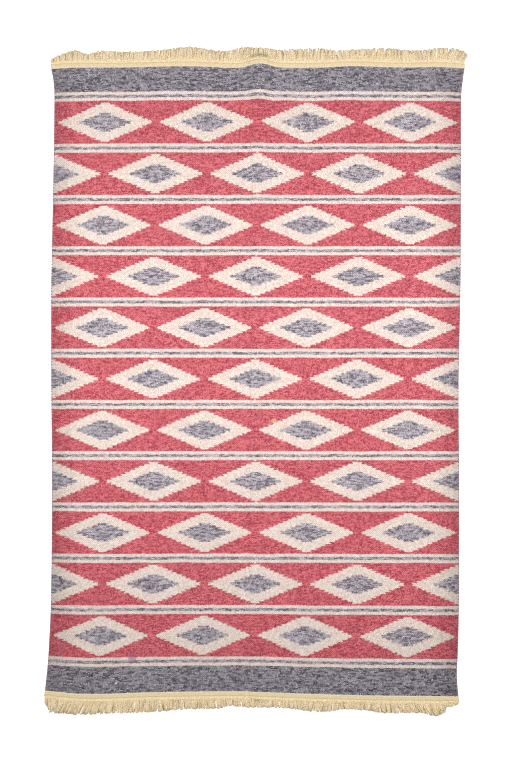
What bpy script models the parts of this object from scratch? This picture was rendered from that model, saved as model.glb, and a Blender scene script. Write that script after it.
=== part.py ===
"""Flat-woven rug lying on the floor, with a fringed cotton tape sewn over each end.

X runs across the rug and Y along it, both from the middle of the whole piece. The floor is Z = 0.
Every size is in metres.
"""

import bisect
import math
import random

import bmesh
import bpy
from mathutils import Vector

# Woven cloth
CLOTH_THICKNESS = 0.004
CLOTH_UNDER_TAPE = 0.020
FLAT_COLUMNS = 5
CREASE_COLUMNS = 20
CLOTH_ROWS = 40

# Fringed tape
TAPE_WIDTH = 0.023
TAPE_THICKNESS = 0.002
TAPE_ABOVE_CLOTH = 0.0007
TAPE_SHORT_OF_EDGE = 0.004
LOCKS_PER_TAPE = 144
LOCK_WIDTH = 0.0056
LOCK_TIP_SHARE = 0.62
LOCK_STATIONS = 3
LOCK_BEND_SHARE = 0.68
LOCK_DROP_RUN = 0.009
LOCK_SWAY = 0.0012
LOCK_REACH_SPREAD = 0.003
LOCK_SEED = 7

COLLECTION = "flatweave_rug"

# The long edges, with the flare at each corner: place along the rug, left edge, right edge.
LONG_EDGES = (
    (-1.194, -0.804, 0.771),
    (-1.106, -0.794, 0.763),
    (-1.015, -0.787, 0.767),
    (-0.832, -0.779, 0.771),
    (-0.376, -0.775, 0.772),
    (-0.011, -0.778, 0.770),
    (0.353, -0.778, 0.777),
    (0.718, -0.771, 0.779),
    (1.083, -0.766, 0.780),
    (1.144, -0.770, 0.786),
    (1.190, -0.779, 0.793),
)

# The crease left by folding the rug lengthwise: place along, where its crest runs, its height, and how
# wide its left and right sides are.
CREASE = (
    (-1.230, -0.006, 0.005, 0.022, 0.050),
    (-0.700, -0.010, 0.006, 0.022, 0.050),
    (-0.200, -0.006, 0.007, 0.022, 0.050),
    (0.400, -0.006, 0.007, 0.022, 0.050),
    (0.800, -0.001, 0.009, 0.025, 0.054),
    (1.000, 0.004, 0.012, 0.034, 0.058),
    (1.230, 0.014, 0.018, 0.064, 0.062),
)

# The tape's inner edge at each end: place across, place along.
TOP_TAPE_EDGE = (
    (-0.779, 1.184),
    (-0.700, 1.189),
    (-0.500, 1.190),
    (-0.255, 1.195),
    (-0.070, 1.189),
    (0.018, 1.202),
    (0.090, 1.190),
    (0.250, 1.190),
    (0.360, 1.195),
    (0.550, 1.190),
    (0.700, 1.192),
    (0.793, 1.186),
)
BOTTOM_TAPE_EDGE = (
    (-0.804, -1.175),
    (-0.650, -1.188),
    (-0.400, -1.182),
    (-0.060, -1.178),
    (0.100, -1.184),
    (0.400, -1.193),
    (0.771, -1.197),
)

# The fringe past each tape: place across, how far it reaches, how much it leans to the right.
TOP_FRINGE = (
    (-0.779, 0.014, -0.05),
    (-0.755, 0.026, 0.00),
    (-0.684, 0.045, 0.04),
    (-0.646, 0.030, 0.00),
    (-0.589, 0.042, 0.04),
    (-0.500, 0.039, 0.00),
    (-0.380, 0.041, 0.06),
    (-0.248, 0.053, 0.06),
    (-0.190, 0.045, 0.00),
    (-0.114, 0.043, 0.14),
    (-0.057, 0.056, 0.10),
    (0.010, 0.043, 0.00),
    (0.100, 0.047, -0.06),
    (0.247, 0.052, 0.00),
    (0.304, 0.041, 0.00),
    (0.400, 0.044, 0.06),
    (0.500, 0.051, 0.04),
    (0.610, 0.043, 0.04),
    (0.690, 0.050, 0.10),
    (0.745, 0.051, 0.26),
    (0.775, 0.042, 0.42),
    (0.793, 0.026, 0.45),
)
BOTTOM_FRINGE = (
    (-0.804, 0.022, -0.02),
    (-0.785, 0.046, -0.10),
    (-0.755, 0.056, -0.30),
    (-0.700, 0.057, -0.45),
    (-0.630, 0.056, -0.36),
    (-0.540, 0.053, -0.16),
    (-0.450, 0.054, 0.00),
    (-0.350, 0.051, 0.00),
    (-0.290, 0.044, 0.00),
    (-0.133, 0.043, 0.00),
    (-0.108, 0.034, 0.00),
    (-0.030, 0.038, 0.06),
    (0.095, 0.035, 0.06),
    (0.190, 0.043, 0.04),
    (0.255, 0.046, 0.00),
    (0.330, 0.034, 0.00),
    (0.400, 0.034, 0.06),
    (0.475, 0.045, 0.18),
    (0.620, 0.043, 0.36),
    (0.655, 0.054, 0.30),
    (0.686, 0.052, 0.32),
    (0.706, 0.038, 0.40),
    (0.722, 0.020, 0.10),
    (0.745, 0.018, -0.20),
    (0.771, 0.010, -0.50),
)

CLOTH_COLOUR = (0.60, 0.14, 0.16, 1.0)
COTTON_COLOUR = (0.80, 0.66, 0.43, 1.0)


def read_table(rows, place):
    """Return a table's columns at one place, on a smooth curve through its rows."""
    places = [row[0] for row in rows]
    if place <= places[0]:
        return rows[0][1:]
    if place >= places[-1]:
        return rows[-1][1:]
    low = bisect.bisect_right(places, place) - 1
    high = low + 1
    before = max(low - 1, 0)
    after = min(high + 1, len(rows) - 1)
    step = places[high] - places[low]
    t = (place - places[low]) / step
    found = []
    for column in range(1, len(rows[0])):
        values = [row[column] for row in rows]
        slope_low = (values[high] - values[before]) / (places[high] - places[before])
        slope_high = (values[after] - values[low]) / (places[after] - places[low])
        found.append(
            (2 * t**3 - 3 * t**2 + 1) * values[low]
            + (t**3 - 2 * t**2 + t) * step * slope_low
            + (3 * t**2 - 2 * t**3) * values[high]
            + (t**3 - t**2) * step * slope_high
        )
    return tuple(found)


def blend(low, high, share):
    """Return the value that lies this share of the way from low to high."""
    return low + (high - low) * share


def crease_height(across, along):
    """Return how far the crease lifts the cloth off the floor at a place."""
    crest, height, left_width, right_width = read_table(CREASE, along)
    off = (crest - across) / left_width if across < crest else (across - crest) / right_width
    if off >= 1:
        return 0.0
    return height * math.cos(math.pi / 2 * off) ** 2


def point_over_cloth(across, along, lift):
    """Return the point this far from the cloth's underside, measured square to the cloth."""
    nudge = 0.0005
    rise = crease_height(across + nudge, along) - crease_height(across - nudge, along)
    normal = Vector((-rise / (2 * nudge), 0.0, 1.0)).normalized()
    return Vector((across, along, crease_height(across, along))) + lift * normal


def cloth_across(column, along):
    """Return where a column of the cloth lies across it; the columns bunch up over the crease."""
    left, right = read_table(LONG_EDGES, along)
    crest, _, left_width, right_width = read_table(CREASE, along)
    if column <= FLAT_COLUMNS:
        return blend(left, crest - left_width, column / FLAT_COLUMNS)
    if column <= FLAT_COLUMNS + CREASE_COLUMNS:
        share = (column - FLAT_COLUMNS) / CREASE_COLUMNS
        return blend(crest - left_width, crest + right_width, share)
    share = (column - FLAT_COLUMNS - CREASE_COLUMNS) / FLAT_COLUMNS
    return blend(crest + right_width, right, share)


def cloth_point(column, row):
    """Return the point on the cloth's underside for a grid column and row."""
    straight = blend(BOTTOM_TAPE_EDGE[0][1], TOP_TAPE_EDGE[0][1], row / CLOTH_ROWS)
    across = cloth_across(column, straight)
    top = read_table(TOP_TAPE_EDGE, across)[0] + CLOTH_UNDER_TAPE
    bottom = read_table(BOTTOM_TAPE_EDGE, across)[0] - CLOTH_UNDER_TAPE
    along = blend(bottom, top, row / CLOTH_ROWS)
    return point_over_cloth(across, along, 0.0)


def plain_material(name, colour):
    """Make a rough, undyed-looking yarn material of one colour."""
    material = bpy.data.materials.new(name)
    material.use_nodes = True
    shader = material.node_tree.nodes["Principled BSDF"]
    shader.inputs["Base Color"].default_value = colour
    shader.inputs["Roughness"].default_value = 0.9
    shader.inputs["Metallic"].default_value = 0.0
    return material


def add_object(mesh, collection, parent, material):
    """Put a mesh in the collection as an object of the mesh's own name."""
    mesh.materials.append(material)
    obj = bpy.data.objects.new(mesh.name, mesh)
    obj.parent = parent
    collection.objects.link(obj)
    return obj


def build_cloth(collection, parent):
    """Build the woven cloth: one sheet with the rug's outline and its lengthwise crease."""
    columns = 2 * FLAT_COLUMNS + CREASE_COLUMNS
    bm = bmesh.new()
    bmesh.ops.create_grid(bm, x_segments=columns, y_segments=CLOTH_ROWS, size=0.5)
    for vert in bm.verts:
        column = round((vert.co.x + 0.5) * columns)
        row = round((vert.co.y + 0.5) * CLOTH_ROWS)
        vert.co = cloth_point(column, row)
    mesh = bpy.data.meshes.new("woven_cloth")
    bm.to_mesh(mesh)
    bm.free()
    material = plain_material("dyed_wool", CLOTH_COLOUR)
    cloth = add_object(mesh, collection, parent, material)
    shell = cloth.modifiers.new("thickness", "SOLIDIFY")
    shell.thickness = CLOTH_THICKNESS
    shell.offset = 1.0
    return cloth


def tape_point(share, outward, lift, tape_edge, side):
    """Return a point of a tape: share across it, outward from its inner edge, lift above its underside."""
    left, right = read_table(LONG_EDGES, side * abs(tape_edge[0][1]))
    across = blend(left + TAPE_SHORT_OF_EDGE, right - TAPE_SHORT_OF_EDGE, share)
    along = read_table(tape_edge, across)[0] + side * outward
    return point_over_cloth(across, along, CLOTH_THICKNESS + TAPE_ABOVE_CLOTH + lift)


def shape_locks(tape_edge, fringe, side):
    """Return each lock's root, reach and lean, a little uneven from one lock to the next."""
    rng = random.Random(LOCK_SEED)
    locks = []
    for number in range(LOCKS_PER_TAPE):
        share = (2 * number + 1.5) / (2 * LOCKS_PER_TAPE + 1)
        root = tape_point(share, TAPE_WIDTH, 0.0, tape_edge, side)
        reach, lean = read_table(fringe, root.x)
        reach += rng.uniform(-LOCK_REACH_SPREAD, LOCK_REACH_SPREAD)
        lean += rng.uniform(-LOCK_SWAY, LOCK_SWAY) / reach
        locks.append((root, reach, lean))
    return locks


def lock_point(lock, station, across_sign, lift, side):
    """Return a corner of a lock at one of its stations: where it meets the floor, its middle or its tip."""
    root, reach, lean = lock
    drop = root.z - CLOTH_THICKNESS
    landing = min((LOCK_DROP_RUN + drop) / reach, 0.45)
    share = (landing, LOCK_BEND_SHARE, 1.0)[station]
    # The lean grows along the lock, so the lock leaves the tape squarely and bends away.
    middle = Vector((lean * reach * share**1.5, side * reach * share, 0.0))
    across = Vector((1.0, -side * lean * 1.5 * share**0.5, 0.0)).normalized()
    half_width = LOCK_WIDTH / 2 * blend(1.0, LOCK_TIP_SHARE, share)
    point = root + middle + across_sign * half_width * across
    point.z = lift
    return point


def build_fringed_tape(name, tape_edge, fringe, side, material, collection, parent):
    """Build one fringed tape: a flat heading over the cloth's end, with its locks fused to it."""
    columns = 2 * LOCKS_PER_TAPE + 1
    bm = bmesh.new()
    bmesh.ops.create_grid(bm, x_segments=columns, y_segments=1, size=0.5)
    bmesh.ops.translate(bm, verts=bm.verts, vec=(0.5, 0.5, 0.0))
    raised = bmesh.ops.extrude_face_region(bm, geom=list(bm.faces), use_keep_orig=True)["geom"]
    raised_verts = [item for item in raised if isinstance(item, bmesh.types.BMVert)]
    bmesh.ops.translate(bm, verts=raised_verts, vec=(0.0, 0.0, TAPE_THICKNESS))

    # Every second face of the outer side grows a lock, station by station.
    outer = [face for face in bm.faces if all(vert.co.y > 0.9 for vert in face.verts)]
    outer.sort(key=lambda face: face.calc_center_median().x)
    for face in outer[1::2]:
        for _ in range(LOCK_STATIONS):
            face = bmesh.ops.extrude_discrete_faces(bm, faces=[face])["faces"][0]
            bmesh.ops.translate(bm, verts=face.verts, vec=(0.0, 1.0, 0.0))

    locks = shape_locks(tape_edge, fringe, side)
    for vert in bm.verts:
        share, outward, lift = vert.co
        line = round(share * columns)
        if outward < 1.5:
            vert.co = tape_point(share, outward * TAPE_WIDTH, lift, tape_edge, side)
        else:
            across_sign = -1 if line % 2 else 1
            station = round(outward) - 2
            vert.co = lock_point(locks[(line - 1) // 2], station, across_sign, lift, side)
    bmesh.ops.recalc_face_normals(bm, faces=bm.faces)
    mesh = bpy.data.meshes.new(name)
    bm.to_mesh(mesh)
    bm.free()
    return add_object(mesh, collection, parent, material)


def clear_scene():
    """Remove every object of the scene that is open."""
    for obj in list(bpy.data.objects):
        bpy.data.objects.remove(obj)


def main():
    """Build the cloth and its two fringed tapes."""
    clear_scene()
    collection = bpy.data.collections.new(COLLECTION)
    bpy.context.scene.collection.children.link(collection)
    rug = bpy.data.objects.new("rug", None)
    collection.objects.link(rug)
    cotton = plain_material("cotton_yarn", COTTON_COLOUR)
    build_cloth(collection, rug)
    build_fringed_tape("fringed_tape_top", TOP_TAPE_EDGE, TOP_FRINGE, 1, cotton, collection, rug)
    build_fringed_tape(
        "fringed_tape_bottom", BOTTOM_TAPE_EDGE, BOTTOM_FRINGE, -1, cotton, collection, rug
    )


main()
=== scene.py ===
"""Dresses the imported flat-woven rug: its cloth, its fringed tapes, and the studio it lies in.

X runs across the rug, Y along it and Z up, in metres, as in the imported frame.
"""

import bisect
import logging
import math
import random
from dataclasses import dataclass
from enum import Enum
from typing import NamedTuple, Sequence

import bmesh
import bpy
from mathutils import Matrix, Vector, noise

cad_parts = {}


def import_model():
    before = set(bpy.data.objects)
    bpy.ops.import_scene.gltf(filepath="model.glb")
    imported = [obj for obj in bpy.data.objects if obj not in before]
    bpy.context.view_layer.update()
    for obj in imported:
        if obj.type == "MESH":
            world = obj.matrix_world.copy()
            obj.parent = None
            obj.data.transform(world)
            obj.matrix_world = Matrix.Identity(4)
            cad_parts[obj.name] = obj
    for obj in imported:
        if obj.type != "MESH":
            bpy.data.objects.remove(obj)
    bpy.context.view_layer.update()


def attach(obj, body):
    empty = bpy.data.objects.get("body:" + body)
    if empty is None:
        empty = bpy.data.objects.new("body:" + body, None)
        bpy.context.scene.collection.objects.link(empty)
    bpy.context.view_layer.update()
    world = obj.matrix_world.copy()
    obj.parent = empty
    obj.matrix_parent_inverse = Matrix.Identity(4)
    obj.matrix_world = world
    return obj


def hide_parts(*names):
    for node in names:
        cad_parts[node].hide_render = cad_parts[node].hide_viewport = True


log = logging.getLogger("rug")

BODY = "root"
CLOTH_NODE = "woven_cloth"
WEAVE_MAP = "weave"
SHADE = "shade"


class End(Enum):
    """The two ends of the rug, and which way along Y each one faces."""

    TOP = 1
    BOTTOM = -1


class EdgeRow(NamedTuple):
    """Where the two long edges lie at one place along the rug."""

    along: float
    left: float
    right: float


class CreaseRow(NamedTuple):
    """The lengthwise crease at one place along the rug."""

    along: float
    crest: float
    height: float
    left_width: float
    right_width: float


class TapeRow(NamedTuple):
    """Where a tape's inner edge lies at one place across the rug."""

    across: float
    along: float


class FringeRow(NamedTuple):
    """How the fringe lies at one place across the rug: its reach past the tape and its lean."""

    across: float
    reach: float
    lean: float


LONG_EDGES = (
    EdgeRow(-1.194, -0.804, 0.771),
    EdgeRow(-1.106, -0.794, 0.763),
    EdgeRow(-1.015, -0.787, 0.767),
    EdgeRow(-0.832, -0.779, 0.771),
    EdgeRow(-0.376, -0.775, 0.772),
    EdgeRow(-0.011, -0.778, 0.770),
    EdgeRow(0.353, -0.778, 0.777),
    EdgeRow(0.718, -0.771, 0.779),
    EdgeRow(1.083, -0.766, 0.780),
    EdgeRow(1.144, -0.770, 0.786),
    EdgeRow(1.190, -0.779, 0.793),
)

CREASE = (
    CreaseRow(-1.230, -0.006, 0.005, 0.022, 0.050),
    CreaseRow(-0.700, -0.010, 0.006, 0.022, 0.050),
    CreaseRow(-0.200, -0.006, 0.007, 0.022, 0.050),
    CreaseRow(0.400, -0.006, 0.007, 0.022, 0.050),
    CreaseRow(0.800, -0.001, 0.009, 0.025, 0.054),
    CreaseRow(1.000, 0.004, 0.012, 0.034, 0.058),
    CreaseRow(1.230, 0.014, 0.018, 0.064, 0.062),
)

TAPE_EDGES = {
    End.TOP: (
        TapeRow(-0.779, 1.184),
        TapeRow(-0.700, 1.189),
        TapeRow(-0.500, 1.190),
        TapeRow(-0.255, 1.195),
        TapeRow(-0.070, 1.189),
        TapeRow(0.018, 1.202),
        TapeRow(0.090, 1.190),
        TapeRow(0.250, 1.190),
        TapeRow(0.360, 1.195),
        TapeRow(0.550, 1.190),
        TapeRow(0.700, 1.192),
        TapeRow(0.793, 1.186),
    ),
    End.BOTTOM: (
        TapeRow(-0.804, -1.175),
        TapeRow(-0.650, -1.188),
        TapeRow(-0.400, -1.182),
        TapeRow(-0.060, -1.178),
        TapeRow(0.100, -1.184),
        TapeRow(0.400, -1.193),
        TapeRow(0.771, -1.197),
    ),
}

FRINGES = {
    End.TOP: (
        FringeRow(-0.779, 0.014, -0.05),
        FringeRow(-0.755, 0.026, 0.00),
        FringeRow(-0.684, 0.045, 0.04),
        FringeRow(-0.646, 0.030, 0.00),
        FringeRow(-0.589, 0.042, 0.04),
        FringeRow(-0.500, 0.039, 0.00),
        FringeRow(-0.380, 0.041, 0.06),
        FringeRow(-0.248, 0.053, 0.06),
        FringeRow(-0.190, 0.045, 0.00),
        FringeRow(-0.114, 0.043, 0.14),
        FringeRow(-0.057, 0.056, 0.10),
        FringeRow(0.010, 0.043, 0.00),
        FringeRow(0.100, 0.047, -0.06),
        FringeRow(0.247, 0.052, 0.00),
        FringeRow(0.304, 0.041, 0.00),
        FringeRow(0.400, 0.044, 0.06),
        FringeRow(0.500, 0.051, 0.04),
        FringeRow(0.610, 0.043, 0.04),
        FringeRow(0.690, 0.050, 0.10),
        FringeRow(0.745, 0.051, 0.26),
        FringeRow(0.775, 0.042, 0.42),
        FringeRow(0.793, 0.026, 0.45),
    ),
    End.BOTTOM: (
        FringeRow(-0.804, 0.022, -0.02),
        FringeRow(-0.785, 0.046, -0.10),
        FringeRow(-0.755, 0.056, -0.30),
        FringeRow(-0.700, 0.057, -0.45),
        FringeRow(-0.630, 0.056, -0.36),
        FringeRow(-0.540, 0.053, -0.16),
        FringeRow(-0.450, 0.054, 0.00),
        FringeRow(-0.350, 0.051, 0.00),
        FringeRow(-0.290, 0.044, 0.00),
        FringeRow(-0.133, 0.043, 0.00),
        FringeRow(-0.108, 0.034, 0.00),
        FringeRow(-0.030, 0.038, 0.06),
        FringeRow(0.095, 0.035, 0.06),
        FringeRow(0.190, 0.043, 0.04),
        FringeRow(0.255, 0.046, 0.00),
        FringeRow(0.330, 0.034, 0.00),
        FringeRow(0.400, 0.034, 0.06),
        FringeRow(0.475, 0.045, 0.18),
        FringeRow(0.620, 0.043, 0.36),
        FringeRow(0.655, 0.054, 0.30),
        FringeRow(0.686, 0.052, 0.32),
        FringeRow(0.706, 0.038, 0.40),
        FringeRow(0.722, 0.020, 0.10),
        FringeRow(0.745, 0.018, -0.20),
        FringeRow(0.771, 0.010, -0.50),
    ),
}


def read_table(rows: Sequence[NamedTuple], place: float) -> tuple[float, ...]:
    """Read a table at one place, on a smooth curve through its rows.

    Args:
        rows: Rows in rising order of their first column.
        place: Where to read, in the first column's units.

    Returns:
        The other columns' values there.
    """
    places = [row[0] for row in rows]
    if place <= places[0]:
        return tuple(rows[0][1:])
    if place >= places[-1]:
        return tuple(rows[-1][1:])
    low = bisect.bisect_right(places, place) - 1
    high = low + 1
    before = max(low - 1, 0)
    after = min(high + 1, len(rows) - 1)
    step = places[high] - places[low]
    t = (place - places[low]) / step
    found = []
    for column in range(1, len(rows[0])):
        values = [row[column] for row in rows]
        slope_low = (values[high] - values[before]) / (places[high] - places[before])
        slope_high = (values[after] - values[low]) / (places[after] - places[low])
        found.append(
            (2 * t**3 - 3 * t**2 + 1) * values[low]
            + (t**3 - 2 * t**2 + t) * step * slope_low
            + (3 * t**2 - 2 * t**3) * values[high]
            + (t**3 - t**2) * step * slope_high
        )
    return tuple(found)


def blend(low: float, high: float, share: float) -> float:
    """Return the value that lies this share of the way from low to high."""
    return low + (high - low) * share


def smooth(share: float) -> float:
    """Return an ease-in, ease-out share, held between 0 and 1."""
    held = min(max(share, 0.0), 1.0)
    return held * held * (3 - 2 * held)


def linear(colour: str, paleness: float = 1.0) -> tuple[float, float, float, float]:
    """Turn an sRGB hex colour into linear light.

    Args:
        colour: Six hex digits.
        paleness: How many times as light to make it.

    Returns:
        Red, green, blue and an alpha of 1.
    """
    parts = [int(colour[at : at + 2], 16) / 255 for at in (0, 2, 4)]
    light = [c / 12.92 if c <= 0.04045 else ((c + 0.055) / 1.055) ** 2.4 for c in parts]
    return (light[0] * paleness, light[1] * paleness, light[2] * paleness, 1.0)


def add_node(
    tree: bpy.types.NodeTree, kind: str, links: dict | None = None, **settings: object
) -> bpy.types.Node:
    """Add a shader node, with its settings and what goes into its sockets.

    Args:
        tree: The material's node tree.
        kind: The node type's name after ShaderNode.
        links: Socket name or number to a value, a socket, or a node for its first output.
        settings: The node's own properties.

    Returns:
        The node.
    """
    node = tree.nodes.new("ShaderNode" + kind)
    for name, value in settings.items():
        setattr(node, name, value)
    for key, value in (links or {}).items():
        if isinstance(value, bpy.types.Node):
            value = value.outputs[0]
        if isinstance(value, bpy.types.NodeSocket):
            tree.links.new(value, node.inputs[key])
        else:
            node.inputs[key].default_value = value
    return node


def start_material(name: str) -> tuple[bpy.types.Material, bpy.types.NodeTree]:
    """Make an empty material.

    Args:
        name: The finish's name.

    Returns:
        The material and its node tree, with no nodes in it.
    """
    material = bpy.data.materials.new(name)
    material.use_nodes = True
    material.node_tree.nodes.clear()
    return material, material.node_tree


def add_piece(name: str, bm: bmesh.types.BMesh, material: bpy.types.Material) -> bpy.types.Object:
    """Turn a bmesh into a smooth-shaded object that rides on the rug's body.

    Args:
        name: The piece's name.
        bm: Its mesh, which is freed.
        material: Its finish.

    Returns:
        The new object, at the origin.
    """
    mesh = bpy.data.meshes.new(name)
    bm.to_mesh(mesh)
    bm.free()
    mesh.shade_smooth()
    mesh.materials.append(material)
    piece = bpy.data.objects.new(name, mesh)
    bpy.context.scene.collection.objects.link(piece)
    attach(piece, BODY)
    return piece


@dataclass(frozen=True)
class Lay:
    """How the rug lies: its outline on the floor, its crease and its slight waves."""

    thickness: float = 0.004
    wave_height: float = 0.0007
    wave_length: float = 0.30
    fold_depth: float = 0.0017
    fold_width: float = 0.0042
    fold_left_of_crest: float = 0.002

    def crease(self, across: float, along: float) -> float:
        """Find how far the crease lifts the cloth, with the fold line pressed into its left side.

        Args:
            across: The place across the rug.
            along: The place along the rug.

        Returns:
            The lift.
        """
        crest, height, left_width, right_width = read_table(CREASE, along)
        off = (crest - across) / left_width if across < crest else (across - crest) / right_width
        if off >= 1:
            return 0.0
        fold = (across - crest + self.fold_left_of_crest) / self.fold_width
        return height * math.cos(math.pi / 2 * off) ** 2 - self.fold_depth * math.exp(-fold * fold)

    def wave(self, across: float, along: float) -> float:
        """Return how far the cloth's slight waves lift it at a place."""
        place = Vector((across, along, 0.0)) / self.wave_length
        return self.wave_height * (0.5 + 0.5 * noise.noise(place))

    def point(self, across: float, along: float, lift: float) -> Vector:
        """Find a point over the cloth's underside.

        Args:
            across: Its place across the rug.
            along: Its place along the rug.
            lift: Its distance from the underside, square to the cloth.

        Returns:
            The point.
        """
        nudge = 0.0005
        rise = self.crease(across + nudge, along) - self.crease(across - nudge, along)
        normal = Vector((-rise / (2 * nudge), 0.0, 1.0)).normalized()
        height = self.crease(across, along) + self.wave(across, along)
        return Vector((across, along, height)) + lift * normal


@dataclass(frozen=True)
class Chart:
    """The weaver's chart, counted in picks of the weft and in the beads that they show."""

    pick: float = 0.003787
    bead: float = 0.0076
    width: float = 1.55
    bottom_picks: int = 26
    top_picks: int = 24
    bands: int = 11
    band_picks: int = 43
    stripe_picks: int = 9
    stripe_core_picks: int = 3
    lozenges: int = 4
    lozenge_share: float = 0.92
    heart_share: float = 0.50
    step_picks: int = 2

    @property
    def repeat_picks(self) -> int:
        """Picks in a stripe and the band that follows it."""
        return self.band_picks + self.stripe_picks

    @property
    def field_picks(self) -> int:
        """Picks between the two plain end bands."""
        return self.bands * self.repeat_picks + self.stripe_picks

    @property
    def picks(self) -> int:
        """Picks from one tape to the other."""
        return self.bottom_picks + self.field_picks + self.top_picks

    @property
    def repeat(self) -> float:
        """The distance from one lozenge to the next."""
        return self.width / self.lozenges


@dataclass(frozen=True)
class Yarn:
    """One colour of weft: its shades, the painted shade in the hollows between its beads, where a little warp
    also shows, and how uneven it is.
    """

    light: str
    dark: str
    fleck: str
    gap: str
    fleck_share: float
    grain_mix: float
    dash_mix: float


# Each yarn's fourth colour is its gap colour: painted shade between the beads, with a little warp showing.
MADDER = Yarn("F0868C", "A8434F", "8A3342", "7E2C39", 0.05, 1.1, 0.8)
ECRU = Yarn("F6ECE3", "D2BFB4", "DDB0AE", "B39E92", 0.04, 1.1, 0.2)
SLATE = Yarn("D6CCD2", "504954", "E0D6DA", "544E59", 0.05, 0.6, 0.9)
SMOKE = Yarn("B8B2B9", "3C3841", "D2CCD0", "464149", 0.05, 0.6, 0.9)


@dataclass(frozen=True)
class Mark:
    """A stain or fleck on the cloth: its middle, its radii, its colour and its strength."""

    across: float
    along: float
    radius_across: float
    radius_along: float
    colour: str
    strength: float


MARKS = (
    Mark(-0.469, -1.051, 0.018, 0.020, "94607A", 0.60),
    Mark(-0.532, -1.148, 0.004, 0.003, "F6F2EC", 0.95),
    Mark(0.068, -0.152, 0.013, 0.009, "E9D6A0", 0.45),
)


@dataclass(frozen=True)
class WovenWool:
    """Hand-dyed wool weft packed over a hidden warp: matte staggered beads with uneven dye."""

    chart: Chart
    dash_beads: float = 2.0
    wander: float = 0.0040
    wander_length: float = 0.09
    selvedge_width: float = 0.0042
    wrap_picks: int = 3
    wrap_share: float = 0.2
    bead_depth: float = 0.0009
    fuzz_size: float = 0.0012
    roughness: float = 0.92
    sheen: float = 0.05

    def material(self) -> bpy.types.Material:
        """Make the material, which reads the cloth's own weave map in metres."""
        chart = self.chart
        material, tree = start_material("dyed_wool_flatweave")
        place = add_node(tree, "UVMap", uv_map=WEAVE_MAP)
        parts = add_node(tree, "SeparateXYZ", {0: place})
        across = parts.outputs[0]

        # The picks are beaten down by hand, so they wander a little from their straight lines.
        drift = add_node(
            tree, "TexNoise", {"Vector": place, "Scale": 1 / self.wander_length, "Detail": 1.0},
            noise_dimensions="2D",
        )
        lowered = add_node(tree, "Math", {0: parts.outputs[1], 1: self.wander / 2}, operation="SUBTRACT")
        along = add_node(
            tree, "Math", {0: drift.outputs[0], 1: self.wander, 2: lowered}, operation="MULTIPLY_ADD"
        )

        # Each bead spans two warp ends, and each pick is set half a bead along from the last.
        picks = add_node(tree, "Math", {0: along, 1: chart.pick}, operation="DIVIDE")
        row = add_node(tree, "Math", {0: picks}, operation="FLOOR")
        up_bead = add_node(tree, "Math", {0: picks}, operation="FRACT")
        half_row = add_node(tree, "Math", {0: row, 1: 0.5}, operation="MULTIPLY")
        shift = add_node(tree, "Math", {0: half_row}, operation="FRACT")
        beads = add_node(tree, "Math", {0: across, 1: 1 / chart.bead, 2: shift}, operation="MULTIPLY_ADD")
        column = add_node(tree, "Math", {0: beads}, operation="FLOOR")
        along_bead = add_node(tree, "Math", {0: beads}, operation="FRACT")
        centred = add_node(tree, "Math", {0: column, 1: shift}, operation="SUBTRACT")
        bead_middle = add_node(tree, "Math", {0: centred, 1: 0.5}, operation="ADD")
        bead_across = add_node(tree, "Math", {0: bead_middle, 1: chart.bead}, operation="MULTIPLY")

        # Each half bead has a tone of its own, and so has each dash, a stretch of one pick two beads long.
        halves = add_node(tree, "Math", {0: beads, 1: 2.0}, operation="MULTIPLY")
        half = add_node(tree, "Math", {0: halves}, operation="FLOOR")
        cell = add_node(tree, "CombineXYZ", {0: half, 1: row})
        speck = add_node(tree, "TexWhiteNoise", {"Vector": cell}, noise_dimensions="2D")
        tone = add_node(tree, "SeparateColor", {0: speck.outputs["Color"]})
        start = add_node(tree, "TexWhiteNoise", {"W": row}, noise_dimensions="1D")
        dashes = add_node(
            tree, "Math", {0: beads, 1: 1 / self.dash_beads, 2: start.outputs["Value"]},
            operation="MULTIPLY_ADD",
        )
        dash = add_node(tree, "Math", {0: dashes}, operation="FLOOR")
        lane = add_node(tree, "CombineXYZ", {0: dash, 1: row})
        stretch = add_node(tree, "TexWhiteNoise", {"Vector": lane}, noise_dimensions="2D")

        crown = self.crown(tree, along_bead, up_bead)
        colours = []
        for yarn in (MADDER, ECRU, SLATE, SMOKE):
            spread = (yarn.grain_mix + yarn.dash_mix) / 2
            grain = add_node(
                tree, "Math", {0: tone.outputs[0], 1: yarn.grain_mix, 2: 0.5 - spread},
                operation="MULTIPLY_ADD",
            )
            mixed = add_node(
                tree, "Math", {0: stretch.outputs["Value"], 1: yarn.dash_mix, 2: grain},
                operation="MULTIPLY_ADD", use_clamp=True,
            )
            dyed = add_node(tree, "MixRGB", {0: mixed, 1: linear(yarn.light), 2: linear(yarn.dark)})
            flecked = add_node(
                tree, "Math", {0: tone.outputs[1], 1: yarn.fleck_share}, operation="LESS_THAN"
            )
            beaded = add_node(tree, "MixRGB", {0: flecked, 1: dyed, 2: linear(yarn.fleck)})
            # Between the beads each colour turns to its gap colour: painted shade in the hollows, with a
            # little warp showing.
            colours.append(add_node(tree, "MixRGB", {0: crown, 1: linear(yarn.gap), 2: beaded}))
        madder, ecru, slate, smoke = colours
        ivory, grey, ends = self.zones(tree, row, bead_across)
        ground = add_node(tree, "MixRGB", {0: ivory, 1: madder, 2: ecru})
        field = add_node(tree, "MixRGB", {0: grey, 1: ground, 2: slate})
        woven = add_node(tree, "MixRGB", {0: ends, 1: field, 2: smoke})
        edged = self.selvedge(tree, across, row, woven)
        marked = self.marks(tree, edged)

        height = self.relief(tree, crown)
        bump = add_node(tree, "Bump", {"Height": height, "Strength": 0.8, "Distance": self.bead_depth})
        shader = add_node(
            tree,
            "BsdfPrincipled",
            {
                "Base Color": marked,
                "Roughness": self.roughness,
                "Sheen Weight": self.sheen,
                "Specular IOR Level": 0.2,
                "Normal": bump,
            },
        )
        add_node(tree, "OutputMaterial", {"Surface": shader})
        return material

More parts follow.
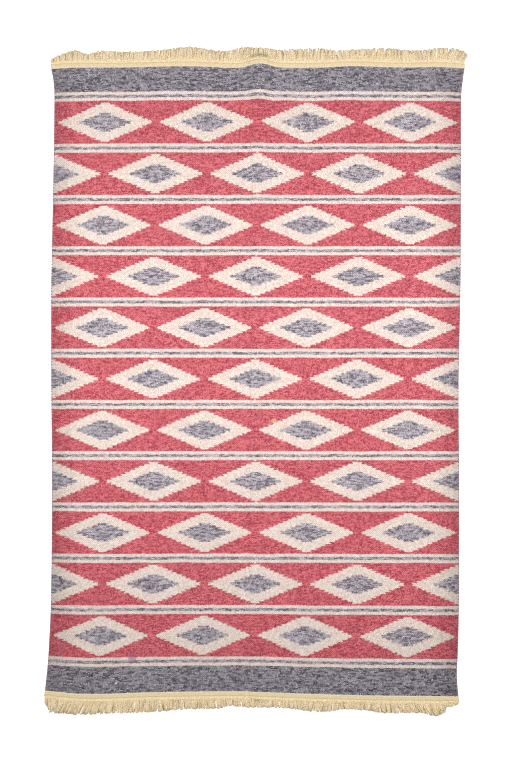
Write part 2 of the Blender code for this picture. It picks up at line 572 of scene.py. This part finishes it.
    def zones(
        self, tree: bpy.types.NodeTree, row: bpy.types.Node, bead_across: bpy.types.Node
    ) -> tuple[bpy.types.Node, bpy.types.Node, bpy.types.Node]:
        """Read the chart: stripes, and bands of stepped lozenges with a heart.

        Args:
            tree: The material's node tree.
            row: The pick's number, counted from the bottom tape.
            bead_across: The middle of the bead, across the rug.

        Returns:
            Masks of the ivory beads, of the grey ones and of the plain ends. The rest are red.
        """
        chart = self.chart
        field_row = add_node(tree, "Math", {0: row, 1: chart.bottom_picks}, operation="SUBTRACT")
        started = add_node(tree, "Math", {0: field_row, 1: -0.5}, operation="GREATER_THAN")
        unended = add_node(tree, "Math", {0: field_row, 1: chart.field_picks - 0.5}, operation="LESS_THAN")
        in_field = add_node(tree, "Math", {0: started, 1: unended}, operation="MULTIPLY")

        turns = add_node(tree, "Math", {0: field_row, 1: chart.repeat_picks}, operation="DIVIDE")
        band = add_node(tree, "Math", {0: turns}, operation="FLOOR")
        passed = add_node(tree, "Math", {0: band, 1: chart.repeat_picks}, operation="MULTIPLY")
        band_row = add_node(tree, "Math", {0: field_row, 1: passed}, operation="SUBTRACT")
        in_stripe = add_node(tree, "Math", {0: band_row, 1: chart.stripe_picks - 0.5}, operation="LESS_THAN")
        from_core = add_node(
            tree, "Math", {0: band_row, 1: (chart.stripe_picks - 1) / 2}, operation="SUBTRACT"
        )
        off_core = add_node(tree, "Math", {0: from_core}, operation="ABSOLUTE")
        in_core = add_node(tree, "Math", {0: off_core, 1: chart.stripe_core_picks / 2}, operation="LESS_THAN")

        band_middle = chart.stripe_picks + (chart.band_picks - 1) / 2
        from_middle = add_node(tree, "Math", {0: band_row, 1: band_middle}, operation="SUBTRACT")
        off_middle = add_node(tree, "Math", {0: from_middle}, operation="ABSOLUTE")
        stepped = add_node(tree, "Math", {0: off_middle, 1: chart.step_picks}, operation="DIVIDE")
        step = add_node(tree, "Math", {0: stepped}, operation="FLOOR")
        steps = (chart.band_picks - 3) // (2 * chart.step_picks)

        # Every second band is set half a repeat along, like bricks.
        half_band = add_node(tree, "Math", {0: band, 1: 0.5}, operation="MULTIPLY")
        band_shift = add_node(tree, "Math", {0: half_band}, operation="FRACT")
        lozenges = add_node(
            tree, "Math", {0: bead_across, 1: 1 / chart.repeat, 2: band_shift}, operation="MULTIPLY_ADD"
        )
        in_repeat = add_node(tree, "Math", {0: lozenges}, operation="FRACT")
        from_lozenge = add_node(tree, "Math", {0: in_repeat, 1: 0.5}, operation="SUBTRACT")
        off_lozenge = add_node(tree, "Math", {0: from_lozenge}, operation="ABSOLUTE")

        masks = []
        for share, own_steps in ((chart.lozenge_share, steps), (chart.heart_share, steps // 2)):
            half = share / 2
            reach = add_node(tree, "Math", {0: step, 1: -half / own_steps, 2: half}, operation="MULTIPLY_ADD")
            inside = add_node(tree, "Math", {0: off_lozenge, 1: reach}, operation="LESS_THAN")
            masks.append(inside)
        lozenge, heart = masks

        frame_mix = add_node(tree, "Math", {0: lozenge, 1: heart}, operation="SUBTRACT", use_clamp=True)
        stripe_ivory = add_node(tree, "Math", {0: 1.0, 1: in_core}, operation="SUBTRACT")
        ivory_row = add_node(
            tree, "Mix", {"Factor": in_stripe, 2: frame_mix, 3: stripe_ivory}, data_type="FLOAT"
        )
        grey_row = add_node(tree, "Mix", {"Factor": in_stripe, 2: heart, 3: in_core}, data_type="FLOAT")
        ends = add_node(tree, "Math", {0: 1.0, 1: in_field}, operation="SUBTRACT")
        return ivory_row, grey_row, ends

    def selvedge(
        self,
        tree: bpy.types.NodeTree,
        across: bpy.types.NodeSocket,
        row: bpy.types.Node,
        woven: bpy.types.Node,
    ) -> bpy.types.Node:
        """Bind the long edges: grey yarn wraps the outermost warp at every third pick.

        Args:
            tree: The material's node tree.
            across: The place across the cloth.
            row: The pick's number.
            woven: The cloth's colour.

        Returns:
            The cloth's colour with its selvedges.
        """
        off = add_node(tree, "Math", {0: across}, operation="ABSOLUTE")
        inner = self.chart.width / 2 - self.selvedge_width
        at_edge = add_node(tree, "Math", {0: off, 1: inner}, operation="GREATER_THAN")
        wraps = add_node(tree, "Math", {0: row, 1: 1 / self.wrap_picks}, operation="MULTIPLY")
        turn = add_node(tree, "Math", {0: wraps}, operation="FRACT")
        wrap = add_node(tree, "Math", {0: turn, 1: self.wrap_share}, operation="LESS_THAN")
        tinted = add_node(tree, "MixRGB", {0: 0.4, 1: woven, 2: linear("CFA0A2")})
        wrapped = add_node(tree, "MixRGB", {0: wrap, 1: tinted, 2: linear("5E5662")})
        return add_node(tree, "MixRGB", {0: at_edge, 1: woven, 2: wrapped})

    def marks(self, tree: bpy.types.NodeTree, woven: bpy.types.Node) -> bpy.types.Node:
        """Stain the cloth where MARKS says.

        Args:
            tree: The material's node tree.
            woven: The clean cloth's colour.

        Returns:
            The marked cloth's colour.
        """
        place = add_node(tree, "TexCoord").outputs["Object"]
        ragged = add_node(tree, "TexNoise", {"Vector": place, "Scale": 130.0, "Detail": 2.0})
        for mark in MARKS:
            radii = (1 / mark.radius_across, 1 / mark.radius_along, 0.0)
            moved = add_node(
                tree, "VectorMath", {0: place, 1: (mark.across, mark.along, 0.0)}, operation="SUBTRACT"
            )
            scaled = add_node(tree, "VectorMath", {0: moved, 1: radii}, operation="MULTIPLY")
            away = add_node(tree, "VectorMath", {0: scaled}, operation="LENGTH").outputs["Value"]
            rough = add_node(
                tree, "Math", {0: ragged.outputs[0], 1: 1.1, 2: away}, operation="MULTIPLY_ADD"
            )
            stain = add_node(
                tree, "MapRange", {0: rough, 1: 1.1, 2: 1.7, 3: mark.strength, 4: 0.0},
                interpolation_type="SMOOTHSTEP",
            )
            woven = add_node(tree, "MixRGB", {0: stain, 1: woven, 2: linear(mark.colour)})
        return woven

    def crown(
        self, tree: bpy.types.NodeTree, along_bead: bpy.types.Node, up_bead: bpy.types.Node
    ) -> bpy.types.Node:
        """Round each bead of the weft.

        Args:
            tree: The material's node tree.
            along_bead: The share of the way along the bead.
            up_bead: The share of the way up it.

        Returns:
            The bead's height, from 0 in the gaps to 1 on its crown.
        """
        domes = []
        for share in (along_bead, up_bead):
            turned = add_node(tree, "Math", {0: share, 1: math.pi}, operation="MULTIPLY")
            domes.append(add_node(tree, "Math", {0: turned}, operation="SINE"))
        dome = add_node(tree, "Math", {0: domes[0], 1: domes[1]}, operation="MULTIPLY")
        return add_node(tree, "Math", {0: dome, 1: 0.4}, operation="POWER", use_clamp=True)

    def relief(self, tree: bpy.types.NodeTree, crown: bpy.types.Node) -> bpy.types.Node:
        """Roughen the beads with wool fibre.

        Args:
            tree: The material's node tree.
            crown: The beads' height.

        Returns:
            The surface's height.
        """
        place = add_node(tree, "TexCoord").outputs["Object"]
        fuzz = add_node(
            tree, "TexNoise", {"Vector": place, "Scale": 1 / self.fuzz_size, "Detail": 1.0}
        )
        return add_node(
            tree, "Math", {0: fuzz.outputs[0], 1: 0.25, 2: crown}, operation="MULTIPLY_ADD"
        )


@dataclass(frozen=True)
class CottonTape:
    """Undyed cotton tape: a tight rib weave with a painted highlight on the cord along its inner edge, paler
    along its outer edge, and a darker brown line along its sunk seam.
    """

    paleness: float = 1.0
    light: str = "DCCAA4"
    dark: str = "CFBC94"
    # This pale colour is a painted highlight on the cord along the tape's inner edge.
    cord_highlight: str = "DED0B4"
    lip: str = "E4D3AA"
    seam: str = "A88F62"
    rib: float = 0.0030
    highlight_width: float = 0.0050
    seam_at: float = 0.0165
    seam_width: float = 0.0022
    roughness: float = 0.9

    def material(self) -> bpy.types.Material:
        """Make the material, which reads the tape's own weave map in metres."""
        material, tree = start_material("undyed_cotton_tape")
        place = add_node(tree, "UVMap", uv_map=WEAVE_MAP)
        parts = add_node(tree, "SeparateXYZ", {0: place})
        outward = parts.outputs[1]
        ribs = add_node(tree, "Math", {0: parts.outputs[0], 1: math.pi / self.rib}, operation="MULTIPLY")
        wave = add_node(tree, "Math", {0: ribs}, operation="SINE")
        rib = add_node(tree, "Math", {0: wave}, operation="ABSOLUTE")
        mottle = add_node(tree, "TexNoise", {"Vector": place, "Scale": 140.0, "Detail": 4.0})
        mixed = add_node(
            tree, "Math", {0: mottle.outputs[0], 1: 2.6, 2: -0.8}, operation="MULTIPLY_ADD", use_clamp=True
        )
        light, dark, painted_highlight, lip, seam = (
            linear(colour, self.paleness)
            for colour in (self.light, self.dark, self.cord_highlight, self.lip, self.seam)
        )
        web = add_node(tree, "MixRGB", {0: mixed, 1: light, 2: dark})
        # The cord along the inner edge is coloured paler: a painted highlight.
        cord_highlight = add_node(
            tree, "MapRange", {0: outward, 1: self.highlight_width, 2: self.highlight_width * 0.4},
            interpolation_type="SMOOTHSTEP",
        )
        inner = add_node(tree, "MixRGB", {0: cord_highlight, 1: web, 2: painted_highlight})
        past = add_node(tree, "Math", {0: outward, 1: self.seam_at + 0.003}, operation="GREATER_THAN")
        edged = add_node(tree, "MixRGB", {0: past, 1: inner, 2: lip})
        # The sunk seam is coloured as a darker brown line.
        off = add_node(tree, "Math", {0: outward, 1: self.seam_at}, operation="SUBTRACT")
        away = add_node(tree, "Math", {0: off}, operation="ABSOLUTE")
        sunk = add_node(
            tree, "MapRange", {0: away, 1: self.seam_width, 2: self.seam_width * 0.3, 4: 0.5},
            interpolation_type="SMOOTHSTEP",
        )
        colour = add_node(tree, "MixRGB", {0: sunk, 1: edged, 2: seam})
        bump = add_node(tree, "Bump", {"Height": rib, "Strength": 0.6, "Distance": 0.0005})
        shader = add_node(
            tree,
            "BsdfPrincipled",
            {"Base Color": colour, "Roughness": self.roughness, "Specular IOR Level": 0.2, "Normal": bump},
        )
        add_node(tree, "OutputMaterial", {"Surface": shader})
        return material


@dataclass(frozen=True)
class CottonYarn:
    """Loose two-ply cotton yarn: cream with a slow twist, darkened by each yarn's shade, which holds its own
    tone and painted shade on the under layer and towards the tips.
    """

    paleness: float = 1.0
    light: str = "EAD7B2"
    dark: str = "8C744A"
    twist: float = 0.0035
    roughness: float = 0.9

    def material(self) -> bpy.types.Material:
        """Make the material, which reads each yarn's shade and its own map along the yarn."""
        material, tree = start_material("undyed_cotton_yarn")
        place = add_node(tree, "UVMap", uv_map=WEAVE_MAP)
        parts = add_node(tree, "SeparateXYZ", {0: place})
        wound = add_node(
            tree, "Math", {0: parts.outputs[1], 1: 1 / self.twist, 2: parts.outputs[0]},
            operation="MULTIPLY_ADD",
        )
        ply = add_node(tree, "Math", {0: wound, 1: 1.0}, operation="PINGPONG")
        shade = add_node(tree, "Attribute", attribute_name=SHADE)
        mottle = add_node(tree, "TexNoise", {"Vector": place, "Scale": 150.0, "Detail": 2.0})
        mixed = add_node(
            tree, "Math", {0: mottle.outputs[0], 1: 0.2, 2: shade.outputs["Fac"]},
            operation="MULTIPLY_ADD", use_clamp=True,
        )
        light, dark = (linear(colour, self.paleness) for colour in (self.light, self.dark))
        colour = add_node(tree, "MixRGB", {0: mixed, 1: light, 2: dark})
        bump = add_node(tree, "Bump", {"Height": ply, "Strength": 0.5, "Distance": 0.0005})
        shader = add_node(
            tree,
            "BsdfPrincipled",
            {"Base Color": colour, "Roughness": self.roughness, "Specular IOR Level": 0.2, "Normal": bump},
        )
        add_node(tree, "OutputMaterial", {"Surface": shader})
        return material


@dataclass(frozen=True)
class WovenCloth:
    """The wool cloth, from under one tape to under the other."""

    lay: Lay
    chart: Chart
    flat_columns: int = 5
    crease_columns: int = 27
    under_tape: float = 0.020
    shell: float = 0.0035
    rib_height: float = 0.0003
    loop_bulge: float = 0.0006
    pull_length: float = 0.22

    @property
    def columns(self) -> int:
        """Columns of faces across the cloth."""
        return 2 * self.flat_columns + self.crease_columns

    def across(self, column: int, along: float) -> float:
        """Find where a column lies across the rug. Columns bunch up over the crease.

        Args:
            column: The column's number, from the left edge.
            along: The place along the rug.

        Returns:
            The place across the rug.
        """
        left, right = read_table(LONG_EDGES, along)
        crest, _, left_width, right_width = read_table(CREASE, along)
        if column <= self.flat_columns:
            return blend(left, crest - left_width, column / self.flat_columns)
        if column <= self.flat_columns + self.crease_columns:
            share = (column - self.flat_columns) / self.crease_columns
            return blend(crest - left_width, crest + right_width, share)
        share = (column - self.flat_columns - self.crease_columns) / self.flat_columns
        return blend(crest + right_width, right, share)

    def along(self, across: float, share: float) -> float:
        """Find where a pick lies along the rug: straight, but for the pull of the two ends near them.

        Args:
            across: The place across the rug.
            share: The share of the way from the bottom tape's inner edge to the top one's.

        Returns:
            The place along the rug.
        """
        low, high = (TAPE_EDGES[end][0].along for end in (End.BOTTOM, End.TOP))
        straight = blend(low, high, share)
        place = straight
        for end, start in ((End.BOTTOM, low), (End.TOP, high)):
            pull = read_table(TAPE_EDGES[end], across)[0] - start
            place += pull * math.exp(-abs(straight - start) / self.pull_length)
        return place

    def build(self) -> bpy.types.Object:
        """Weave the cloth: one rib for each pick, a weave map in metres, and a thickness.

        Returns:
            The cloth, standing for its CAD node.
        """
        chart = self.chart
        hidden = math.ceil(self.under_tape / chart.pick)
        picks = chart.picks + 2 * hidden
        rows = 2 * picks
        bm = bmesh.new()
        bmesh.ops.create_grid(bm, x_segments=self.columns, y_segments=rows, size=0.5)
        placed: dict[int, tuple[Vector, float]] = {}
        grid = {}
        for vert in bm.verts:
            column = round((vert.co.x + 0.5) * self.columns)
            row = round((vert.co.y + 0.5) * rows)
            grid[(column, row)] = vert
        low, high = (TAPE_EDGES[end][0].along for end in (End.BOTTOM, End.TOP))
        for row in range(rows + 1):
            along_cloth = row / 2 * chart.pick - hidden * chart.pick
            share = along_cloth / (chart.picks * chart.pick)
            straight = blend(low, high, share)
            crest = 1 if row % 2 else -1
            points = []
            for column in range(self.columns + 1):
                across = self.across(column, straight)
                if column in (0, self.columns) and crest > 0:
                    across += math.copysign(self.loop_bulge, across)
                lift = self.lay.thickness + crest * self.rib_height
                points.append(self.lay.point(across, self.along(across, share), lift))
            lengths = [0.0]
            for before, after in zip(points, points[1:]):
                lengths.append(lengths[-1] + (after - before).length)
            for column, point in enumerate(points):
                vert = grid[(column, row)]
                vert.co = point
                across_cloth = (lengths[column] / lengths[-1] - 0.5) * chart.width
                placed[vert.index] = (across_cloth, along_cloth)
        weave = bm.loops.layers.uv.new(WEAVE_MAP)
        for face in bm.faces:
            for loop in face.loops:
                loop[weave].uv = placed[loop.vert.index]
        material = WovenWool(chart).material()
        cloth = add_piece("wool_cloth", bm, material)
        shell = cloth.modifiers.new("thickness", "SOLIDIFY")
        shell.thickness = self.shell
        shell.offset = -1.0
        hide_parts(CLOTH_NODE)
        return cloth


class YarnRoute(NamedTuple):
    """One yarn of a fringe: where it starts, how it lies and its tone."""

    root: Vector
    reach: float
    lean: float
    gather: float
    bow: float
    rest: float
    radius: float
    tone: float


@dataclass(frozen=True)
class YarnLayer:
    """A layer of a fringe's yarns, which gather into locks towards their tips."""

    yarns: int
    radius: float
    reach_share: float
    reach_spread: float
    rest: float
    lock_lean: float
    lock_reach: float
    lean_spread: float
    clump: float
    tone: float
    tone_spread: float


# The under layer's yarns are coloured darker: painted shade beneath the over layer.
UNDER_LAYER = YarnLayer(560, 0.0017, 0.95, 0.0008, 0.0000, 0.00, 0.0000, 0.03, 0.00, 0.52, 0.30)
OVER_LAYER = YarnLayer(1000, 0.0011, 1.00, 0.0010, 0.0032, 0.09, 0.0011, 0.04, 0.50, 0.03, 0.20)

# The bottom end's tape and yarns are coloured a little paler than the top end's.
PALENESS = {End.TOP: 1.0, End.BOTTOM: 1.13}


@dataclass(frozen=True)
class FringedTape:
    """A woven cotton tape over one end of the cloth, and the yarns that hang from it."""

    lay: Lay
    end: End
    width: float = 0.023
    thickness: float = 0.002
    above_cloth: float = 0.0007
    short_of_edge: float = -0.001
    ribs: int = 520
    profile_rows: int = 10
    edge_wander: float = 0.0008
    yarn_sides: int = 6
    yarn_stations: int = 9
    lock_yarns: tuple[int, int] = (3, 8)
    shortest_yarn: float = 0.006
    drop_length: float = 0.011
    # The yarns are coloured darker towards their tips: painted shade among the loose locks.
    tip_shade: float = 0.12

    @property
    def yarns(self) -> int:
        """All the yarns of one fringe."""
        return UNDER_LAYER.yarns + OVER_LAYER.yarns

    @property
    def name(self) -> str:
        """The end's name, as it stands in its pieces' names."""
        return self.end.name.lower()

    @property
    def node(self) -> str:
        """The CAD node that this end's pieces stand for."""
        return f"fringed_tape_{self.name}"

    def base(self, share: float, outward: float, lift: float) -> Vector:
        """Find a point of the tape.

        Args:
            share: The share of the way across the rug.
            outward: Its distance outward from the tape's inner edge.
            lift: Its distance above the tape's underside.

        Returns:
            The point.
        """
        rows = TAPE_EDGES[self.end]
        left, right = read_table(LONG_EDGES, self.end.value * abs(rows[0].along))
        across = blend(left + self.short_of_edge, right - self.short_of_edge, share)
        along = read_table(rows, across)[0] + self.end.value * outward
        return self.lay.point(across, along, self.lay.thickness + self.above_cloth + lift)

    def relief(self, share_out: float) -> float:
        """Find the tape's height over its underside.

        Args:
            share_out: The share of the way from its inner edge to its outer one.

        Returns:
            The height.
        """
        inner_cord = 0.0010 * math.exp(-(((share_out - 0.09) / 0.07) ** 2))
        seam = 0.0006 * math.exp(-(((share_out - CottonTape.seam_at / self.width) / 0.06) ** 2))
        return self.thickness * 0.8 + inner_cord - seam

    def build_tape(self, material: bpy.types.Material) -> bpy.types.Object:
        """Weave the tape: a cord along its inner edge, a ribbed web, and a sunk seam.

        Args:
            material: The tape's finish.

        Returns:
            The tape, standing for its CAD node with the yarns.
        """
        columns = 2 * self.ribs
        bm = bmesh.new()
        bmesh.ops.create_grid(bm, x_segments=columns, y_segments=self.profile_rows, size=0.5)
        placed: dict[int, tuple[float, float]] = {}
        for vert in bm.verts:
            share = vert.co.x + 0.5
            share_out = vert.co.y + 0.5
            rib = 0.0001 if round(share * columns) % 2 else -0.0001
            across_tape = share * self.ribs * CottonTape.rib
            placed[vert.index] = (across_tape, share_out * self.width)
            wander = self.edge_wander * noise.noise(Vector((across_tape / 0.02, 0.0, self.end.value)))
            outward = share_out * self.width + wander * (1 - share_out)
            vert.co = self.base(share, outward, self.relief(share_out) + rib)
        weave = bm.loops.layers.uv.new(WEAVE_MAP)
        for face in bm.faces:
            for loop in face.loops:
                loop[weave].uv = placed[loop.vert.index]
        bmesh.ops.recalc_face_normals(bm, faces=bm.faces)
        if sum(face.normal.z for face in bm.faces) < 0:
            bmesh.ops.reverse_faces(bm, faces=bm.faces)
        tape = add_piece(f"tape_{self.name}", bm, material)
        shell = tape.modifiers.new("thickness", "SOLIDIFY")
        shell.thickness = self.thickness * 0.7
        shell.offset = -1.0
        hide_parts(self.node)
        return tape

    def comb(self) -> bmesh.types.BMesh:
        """Make straight yarns side by side, one unit apart, each one unit long and of radius one.

        Returns:
            The yarns. X is the yarn's number plus its section's X, less a quarter; Y is the station.
        """
        bm = bmesh.new()
        made = bmesh.ops.create_circle(bm, segments=self.yarn_sides, radius=0.25, cap_ends=True)
        for vert in made["verts"]:
            vert.co = Vector((vert.co.x, 0.0, vert.co.y))
        face = bm.faces[:][0]
        for _ in range(self.yarn_stations):
            face = bmesh.ops.extrude_discrete_faces(bm, faces=[face])["faces"][0]
            bmesh.ops.translate(bm, verts=face.verts, vec=(0.0, 1.0, 0.0))
        first = [vert for vert in bm.verts if vert.co.y < 0.5]
        bmesh.ops.contextual_create(bm, geom=first)
        count = 1
        while count < self.yarns:
            take = min(count, self.yarns - count)
            geom = [v for v in bm.verts if v.co.x < take - 0.5]
            chosen = set(geom)
            geom += [e for e in bm.edges if all(v in chosen for v in e.verts)]
            geom += [f for f in bm.faces if all(v in chosen for v in f.verts)]
            copied = bmesh.ops.duplicate(bm, geom=geom)["geom"]
            moved = [item for item in copied if isinstance(item, bmesh.types.BMVert)]
            bmesh.ops.translate(bm, verts=moved, vec=(float(count), 0.0, 0.0))
            count += take
        return bm

    def route_yarns(self, layer: YarnLayer, rng: random.Random) -> list[YarnRoute]:
        """Choose how the yarns of one layer lie.

        Args:
            layer: The layer.
            rng: The fringe's own random numbers.

        Returns:
            A route for each yarn, from left to right.
        """
        routes = []
        while len(routes) < layer.yarns:
            count = min(rng.randint(*self.lock_yarns), layer.yarns - len(routes))
            middle = (len(routes) + count / 2) / layer.yarns
            lock_lean = rng.gauss(0.0, layer.lock_lean)
            lock_reach = rng.gauss(0.0, layer.lock_reach)
            clump = layer.clump * rng.uniform(0.6, 1.0)
            lock_rest = rng.uniform(0.0, 0.0012)
            for _ in range(count):
                share = (len(routes) + 0.5) / layer.yarns
                root = self.base(share, self.width - 0.001, self.thickness * 0.45 + layer.rest / 4)
                reach, lean = read_table(FRINGES[self.end], root.x)
                reach = (reach + lock_reach) * layer.reach_share
                reach += rng.uniform(-layer.reach_spread, layer.reach_spread)
                routes.append(
                    YarnRoute(
                        root=root,
                        reach=max(reach, self.shortest_yarn),
                        lean=lean + lock_lean + rng.gauss(0.0, layer.lean_spread),
                        gather=(middle - share) * self.base(1.0, 0.0, 0.0).x * 2 * clump,
                        bow=rng.gauss(0.0, 0.0008),
                        rest=layer.rest + layer.radius + lock_rest + rng.random() * 0.0008,
                        radius=layer.radius,
                        tone=layer.tone + rng.uniform(-layer.tone_spread, layer.tone_spread) / 2,
                    )
                )
        return routes

    def yarn_point(self, route: YarnRoute, station: int, ring: Vector) -> tuple[Vector, float]:
        """Find a point on a yarn's skin: it leaves the tape, drops to the floor and lies along it.

        Args:
            route: How the yarn lies.
            station: The station along it.
            ring: The point's place on a round section of radius one.

        Returns:
            The point, and the share of the way along the yarn.
        """
        side = self.end.value
        share = station / self.yarn_stations
        # The first stations sit close together, where the yarn bends down.
        share = 0.45 * share + 0.55 * share**2
        outward = route.reach * share + 0.001
        sideways = (
            route.lean * route.reach * share**1.5
            + route.gather * share**1.5
            + route.bow * math.sin(math.pi * share)
        )
        slope = (route.lean + route.gather / route.reach) * 1.5 * share**0.5
        fall = smooth(outward / min(self.drop_length + (route.root.z - 0.005), 0.5 * route.reach))
        height = blend(route.root.z, route.rest, fall)
        radius = route.radius * (1.0 if station < self.yarn_stations else 0.6)
        across = Vector((1.0, -side * slope, 0.0)).normalized()
        middle = Vector((route.root.x + sideways, route.root.y + side * outward, height))
        return middle + across * ring.x * radius + Vector((0.0, 0.0, ring.z * radius)), share

    def build_yarns(self, material: bpy.types.Material) -> bpy.types.Object:
        """Lay the fringe: an even layer of yarns under one whose tips gather into locks.

        Args:
            material: The yarns' finish.

        Returns:
            The fringe.
        """
        rng = random.Random(31 + self.end.value)
        routes = self.route_yarns(UNDER_LAYER, rng) + self.route_yarns(OVER_LAYER, rng)
        bm = self.comb()
        weave = bm.loops.layers.uv.new(WEAVE_MAP)
        shade = bm.verts.layers.float.new(SHADE)
        around: dict[int, tuple[float, float]] = {}
        for vert in bm.verts:
            number = round(vert.co.x)
            route = routes[number]
            ring = Vector(((vert.co.x - number) * 4, 0.0, vert.co.z * 4))
            vert.co, share = self.yarn_point(route, round(vert.co.y), ring)
            # Each yarn's shade holds its own tone plus painted shade: darker on the under layer and towards
            # the tips.
            vert[shade] = route.tone + self.tip_shade * share
            around[vert.index] = (math.atan2(ring.z, ring.x) / math.tau, route.reach * share)
        for face in bm.faces:
            for loop in face.loops:
                loop[weave].uv = around[loop.vert.index]
        bmesh.ops.recalc_face_normals(bm, faces=bm.faces)
        fringe = add_piece(f"fringe_{self.name}", bm, material)
        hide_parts(self.node)
        return fringe


@dataclass(frozen=True)
class Studio:
    """The white floor, the soft lights and the camera straight above the rug."""

    frame_height: float = 2.9184
    frame_middle: float = -0.0114
    camera_height: float = 6.0
    sensor: float = 36.0
    floor_half: float = 15.0
    floor_glow: float = 0.70
    world_strength: float = 0.06

    def build_floor(self) -> None:
        """Lay the white floor, which is lit up enough to look like a cut-out's white."""
        bm = bmesh.new()
        bmesh.ops.create_grid(bm, x_segments=1, y_segments=1, size=self.floor_half)
        mesh = bpy.data.meshes.new("floor")
        bm.to_mesh(mesh)
        bm.free()
        floor = bpy.data.objects.new("floor", mesh)
        bpy.context.scene.collection.objects.link(floor)
        material, tree = start_material("white_paper_floor")
        shader = add_node(
            tree,
            "BsdfPrincipled",
            {
                "Base Color": (0.85, 0.85, 0.85, 1.0),
                "Roughness": 1.0,
                "Specular IOR Level": 0.0,
                "Emission Color": (1.0, 1.0, 1.0, 1.0),
                "Emission Strength": self.floor_glow,
            },
        )
        add_node(tree, "OutputMaterial", {"Surface": shader})
        mesh.materials.append(material)

    def add_light(
        self, name: str, place: tuple[float, float, float], size: float, power: float
    ) -> bpy.types.Object:
        """Hang a square soft light that faces the rug's middle.

        Args:
            name: Its name.
            place: Where it hangs.
            size: Its side.
            power: Its power in watts.

        Returns:
            The light.
        """
        data = bpy.data.lights.new(name, "AREA")
        data.size = size
        data.energy = power
        light = bpy.data.objects.new(name, data)
        light.location = place
        light.rotation_euler = (-Vector(place)).to_track_quat("-Z", "Y").to_euler()
        light.visible_camera = False
        bpy.context.scene.collection.objects.link(light)
        return light

    def build_lights(self) -> None:
        """Light the rug softly from above and from both sides, a little more at its top end."""
        world = bpy.data.worlds.new("studio")
        world.use_nodes = True
        background = world.node_tree.nodes["Background"]
        background.inputs["Color"].default_value = (1.0, 1.0, 1.0, 1.0)
        background.inputs["Strength"].default_value = self.world_strength
        bpy.context.scene.world = world
        self.add_light("overhead", (0.0, 0.35, 2.7), 1.4, 56.5)
        self.add_light("key", (2.2, 0.45, 2.2), 1.2, 56.5)
        self.add_light("fill", (-2.2, 0.45, 2.2), 1.2, 51.5)

    def build_camera(self) -> None:
        """Set the camera straight above the rug, with the photo's frame on the floor."""
        data = bpy.data.cameras.new("camera")
        data.sensor_width = self.sensor
        data.lens = self.sensor * self.camera_height / self.frame_height
        camera = bpy.data.objects.new("camera", data)
        camera.location = (0.0, self.frame_middle, self.camera_height)
        bpy.context.scene.collection.objects.link(camera)
        bpy.context.scene.camera = camera

    def build(self) -> None:
        """Build the whole studio."""
        self.build_floor()
        self.build_lights()
        self.build_camera()
        bpy.context.scene.view_settings.view_transform = "Standard"
        # The beads are as fine as the pixels, so denoising would smear them.
        bpy.context.scene.cycles.use_denoising = False


def main() -> None:
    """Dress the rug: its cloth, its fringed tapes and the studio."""
    logging.basicConfig(level=logging.INFO, format="%(message)s")
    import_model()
    lay = Lay()
    chart = Chart()
    cloth = WovenCloth(lay, chart).build()
    log.info("cloth: %d picks", chart.picks)
    for end in End:
        tape = FringedTape(lay, end)
        tape.build_tape(CottonTape(PALENESS[end]).material())
        tape.build_yarns(CottonYarn(PALENESS[end]).material())
        log.info("fringed tape, %s: %d yarns", tape.name, tape.yarns)
    Studio().build()
    log.info("studio: floor, lights and camera")


if __name__ == "__main__":
    main()
